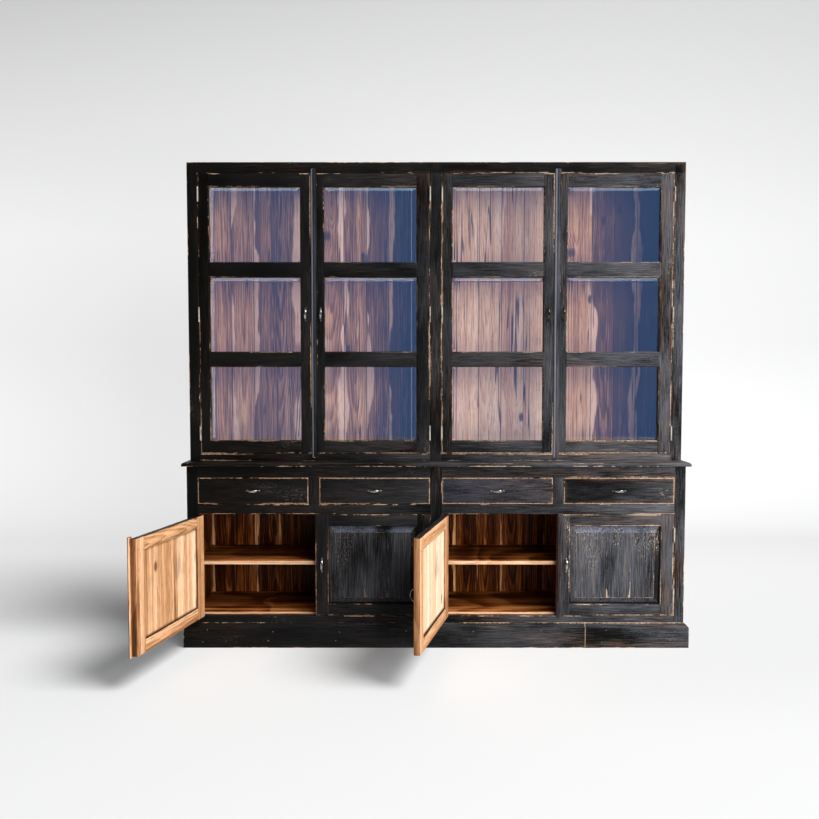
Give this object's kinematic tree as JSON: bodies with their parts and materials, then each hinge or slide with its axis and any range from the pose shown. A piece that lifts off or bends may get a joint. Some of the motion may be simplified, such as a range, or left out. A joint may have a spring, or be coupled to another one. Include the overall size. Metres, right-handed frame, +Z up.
{
  "type": "buffet cabinet",
  "caption": "Wide two-part painted buffet cabinet: base with drawers and panelled doors under a shallower hutch with glazed doors.",
  "frame": {"origin": "on the floor, under the middle of the base, half-way along the width and the body's depth", "axes": "+Z up, +X along the width to the right as seen from the front, +Y towards the back"},
  "size_m": [2.4634, 0.9542, 2.29],
  "materials": {
    "black_paint": "distressed matt black paint on teak",
    "bare_teak": "waxed bare teak",
    "glass": "clear, with ground bevels",
    "hinge_steel": "satin",
    "pull_steel": "satin"
  },
  "bodies": {
    "cabinet": {"base_back_planks": "bare_teak", "base_carcass": "black_paint", "base_face_frame": "black_paint", "base_shelves": "bare_teak", "counter": "black_paint", "drawer_runners": "bare_teak", "frame_hinge_leaves": "hinge_steel", "hutch_back_planks": "bare_teak", "hutch_carcass": "black_paint", "hutch_face_frame": "black_paint", "hutch_shelves": "bare_teak", "plinth": "black_paint"},
    "drawer_1": {"drawer_1_box": "bare_teak", "drawer_1_front": "black_paint", "drawer_1_pull": "pull_steel"},
    "drawer_2": {"drawer_2_box": "bare_teak", "drawer_2_front": "black_paint", "drawer_2_pull": "pull_steel"},
    "drawer_3": {"drawer_3_box": "bare_teak", "drawer_3_front": "black_paint", "drawer_3_pull": "pull_steel"},
    "drawer_4": {"drawer_4_box": "bare_teak", "drawer_4_front": "black_paint", "drawer_4_pull": "pull_steel"},
    "lower_door_1": {"lower_door_1_frame": "black_paint", "lower_door_1_hinge_leaves": "hinge_steel", "lower_door_1_meeting_strip": "black_paint", "lower_door_1_panel": "black_paint", "lower_door_1_pull": "pull_steel"},
    "lower_door_2": {"lower_door_2_frame": "black_paint", "lower_door_2_hinge_leaves": "hinge_steel", "lower_door_2_panel": "black_paint", "lower_door_2_pull": "pull_steel"},
    "lower_door_3": {"lower_door_3_frame": "black_paint", "lower_door_3_hinge_leaves": "hinge_steel", "lower_door_3_panel": "black_paint", "lower_door_3_pull": "pull_steel"},
    "lower_door_4": {"lower_door_4_frame": "black_paint", "lower_door_4_hinge_leaves": "hinge_steel", "lower_door_4_meeting_strip": "black_paint", "lower_door_4_panel": "black_paint", "lower_door_4_pull": "pull_steel"},
    "upper_door_1": {"upper_door_1_frame": "black_paint", "upper_door_1_glass": "glass", "upper_door_1_hinge_leaves": "hinge_steel", "upper_door_1_pull": "pull_steel"},
    "upper_door_2": {"upper_door_2_frame": "black_paint", "upper_door_2_glass": "glass", "upper_door_2_hinge_leaves": "hinge_steel", "upper_door_2_meeting_strip": "black_paint", "upper_door_2_pull": "pull_steel"},
    "upper_door_3": {"upper_door_3_frame": "black_paint", "upper_door_3_glass": "glass", "upper_door_3_hinge_leaves": "hinge_steel", "upper_door_3_pull": "pull_steel"},
    "upper_door_4": {"upper_door_4_frame": "black_paint", "upper_door_4_glass": "glass", "upper_door_4_hinge_leaves": "hinge_steel", "upper_door_4_meeting_strip": "black_paint", "upper_door_4_pull": "pull_steel"}
  },
  "joints": [
    {"name": "drawer_1_slide", "type": "slide", "parent": "cabinet", "child": "drawer_1", "axis": [0, -1, 0], "range_m": [0, 0.26]},
    {"name": "drawer_2_slide", "type": "slide", "parent": "cabinet", "child": "drawer_2", "axis": [0, -1, 0], "range_m": [0, 0.26]},
    {"name": "drawer_3_slide", "type": "slide", "parent": "cabinet", "child": "drawer_3", "axis": [0, -1, 0], "range_m": [0, 0.26]},
    {"name": "drawer_4_slide", "type": "slide", "parent": "cabinet", "child": "drawer_4", "axis": [0, -1, 0], "range_m": [0, 0.26]},
    {"name": "lower_door_1_hinge", "type": "hinge", "parent": "cabinet", "child": "lower_door_1", "pos_m": [-1.1237, -0.2047, 0.3915], "axis": [0, 0, -1], "range_deg": [-104, 61]},
    {"name": "lower_door_2_hinge", "type": "hinge", "parent": "cabinet", "child": "lower_door_2", "pos_m": [-0.0283, -0.2047, 0.3915], "axis": [0, 0, 1], "range_deg": [0, 74]},
    {"name": "lower_door_3_hinge", "type": "hinge", "parent": "cabinet", "child": "lower_door_3", "pos_m": [0.0283, -0.2047, 0.3915], "axis": [0, 0, -1], "range_deg": [-105, 0]},
    {"name": "lower_door_4_hinge", "type": "hinge", "parent": "cabinet", "child": "lower_door_4", "pos_m": [1.1237, -0.2047, 0.3915], "axis": [0, 0, 1], "range_deg": [0, 165]},
    {"name": "upper_door_1_hinge", "type": "hinge", "parent": "cabinet", "child": "upper_door_1", "pos_m": [-1.1237, -0.1367, 1.5765], "axis": [0, 0, -1], "range_deg": [0, 165]},
    {"name": "upper_door_2_hinge", "type": "hinge", "parent": "cabinet", "child": "upper_door_2", "pos_m": [-0.0283, -0.1367, 1.5765], "axis": [0, 0, 1], "range_deg": [0, 90]},
    {"name": "upper_door_3_hinge", "type": "hinge", "parent": "cabinet", "child": "upper_door_3", "pos_m": [0.0283, -0.1367, 1.5765], "axis": [0, 0, -1], "range_deg": [0, 90]},
    {"name": "upper_door_4_hinge", "type": "hinge", "parent": "cabinet", "child": "upper_door_4", "pos_m": [1.1237, -0.1367, 1.5765], "axis": [0, 0, 1], "range_deg": [0, 165]}
  ]
}
